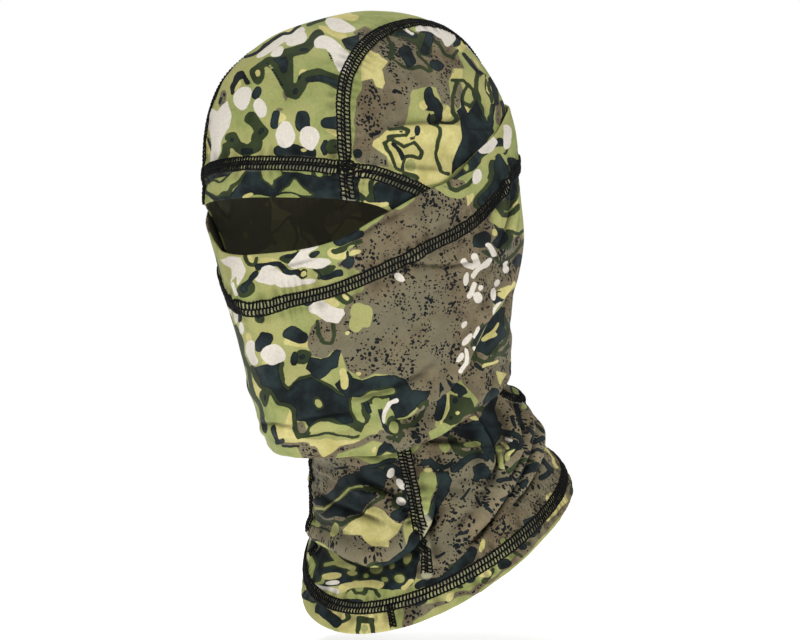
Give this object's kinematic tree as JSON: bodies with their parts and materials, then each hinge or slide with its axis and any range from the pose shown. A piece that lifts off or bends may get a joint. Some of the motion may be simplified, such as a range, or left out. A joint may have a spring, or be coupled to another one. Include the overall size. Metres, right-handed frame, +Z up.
{
  "type": "camouflage face mask",
  "caption": "Stretch jersey balaclava with a hood, a long neck and a face cover that pulls down, sewn with flat contrast seams.",
  "frame": {"origin": "on the head's upright axis at the level of the lowest point of the neck hem, where the head goes in", "axes": "+Z up, the face looks along -Y, +X is the wearer's left"},
  "size_m": [0.1582, 0.2355, 0.3264],
  "materials": {
    "jersey_print": "printed stretch jersey, soft sheen",
    "jersey_panel": "printed stretch jersey, soft sheen",
    "seam_thread": "black textured thread"
  },
  "bodies": {
    "hood": {"crown_panel": "jersey_print", "side_panel_left": "jersey_panel", "side_panel_right": "jersey_panel", "mask_back_panel": "jersey_print", "chin_panel": "jersey_print", "neck_front_panel": "jersey_print", "neck_back_panel": "jersey_panel", "hem_band": "jersey_panel", "crown_seam_left": "seam_thread", "crown_seam_right": "seam_thread", "brow_hem_seam": "seam_thread", "mask_back_hem_seam": "seam_thread", "neck_seam_left": "seam_thread", "neck_seam_right": "seam_thread", "nape_seam": "seam_thread", "hem_seam": "seam_thread", "band_join_seam": "seam_thread"},
    "mask": {"mask_panel": "jersey_print", "mask_hem_seam": "seam_thread"}
  },
  "joints": [
    {"name": "mask_pull_down", "type": "hinge", "parent": "hood", "child": "mask", "pos_m": [0, 0.01, 0.15], "axis": [1, 0, 0], "range_deg": [0, 38]}
  ]
}
